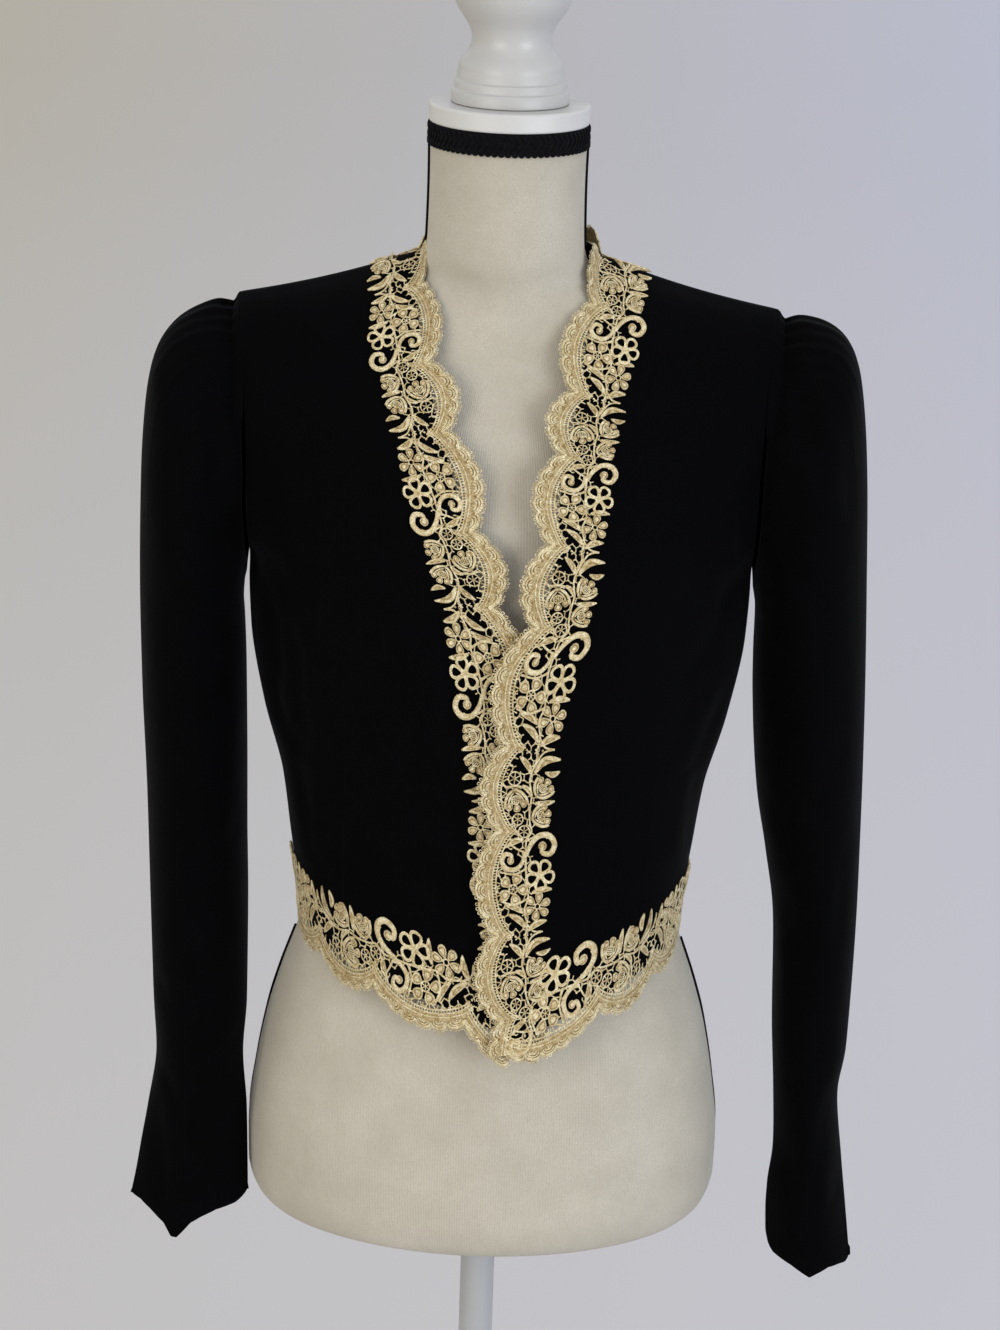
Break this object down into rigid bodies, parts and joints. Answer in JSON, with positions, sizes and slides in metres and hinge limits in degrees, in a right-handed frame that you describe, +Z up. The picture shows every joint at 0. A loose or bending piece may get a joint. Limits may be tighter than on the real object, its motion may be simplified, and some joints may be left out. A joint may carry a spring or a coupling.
{
  "type": "velvet evening jacket on a dress form",
  "caption": "Open-fronted waist-length velvet jacket with pointed fronts, lace-edged neckline and hem and long gathered sleeves, on a limbless dress form with a pole stand.",
  "frame": {"origin": "middle of the stand's base, on the surface that it stands on", "axes": "+Z up along the stand's pole, -Y the way the jacket's front faces, +X towards the wearer's left"},
  "size_m": [0.4985, 0.35, 1.3338],
  "materials": {
    "velvet": "black velvet with a short dense pile",
    "lace": "gold metallic-thread guipure lace",
    "jersey": "cream knitted jersey",
    "braid": "black gimp braid and cord",
    "white_paint": "satin white paint"
  },
  "bodies": {
    "root": {"front_right": "velvet", "front_left": "velvet", "back": "velvet", "sleeve_right": "velvet", "sleeve_left": "velvet", "lace_front_right": "lace", "lace_front_left": "lace", "lace_hem_right": "lace", "lace_hem_left": "lace", "lace_hem_back": "lace", "lace_neck_back": "lace", "form_torso": "jersey", "form_hip_cord_right": "braid", "form_hip_cord_left": "braid", "form_neck_cord_right": "braid", "form_neck_cord_left": "braid", "form_neck_braid": "braid", "neck_cap": "white_paint", "finial": "white_paint", "pole": "white_paint", "pole_collar": "white_paint", "base": "white_paint"}
  },
  "joints": []
}
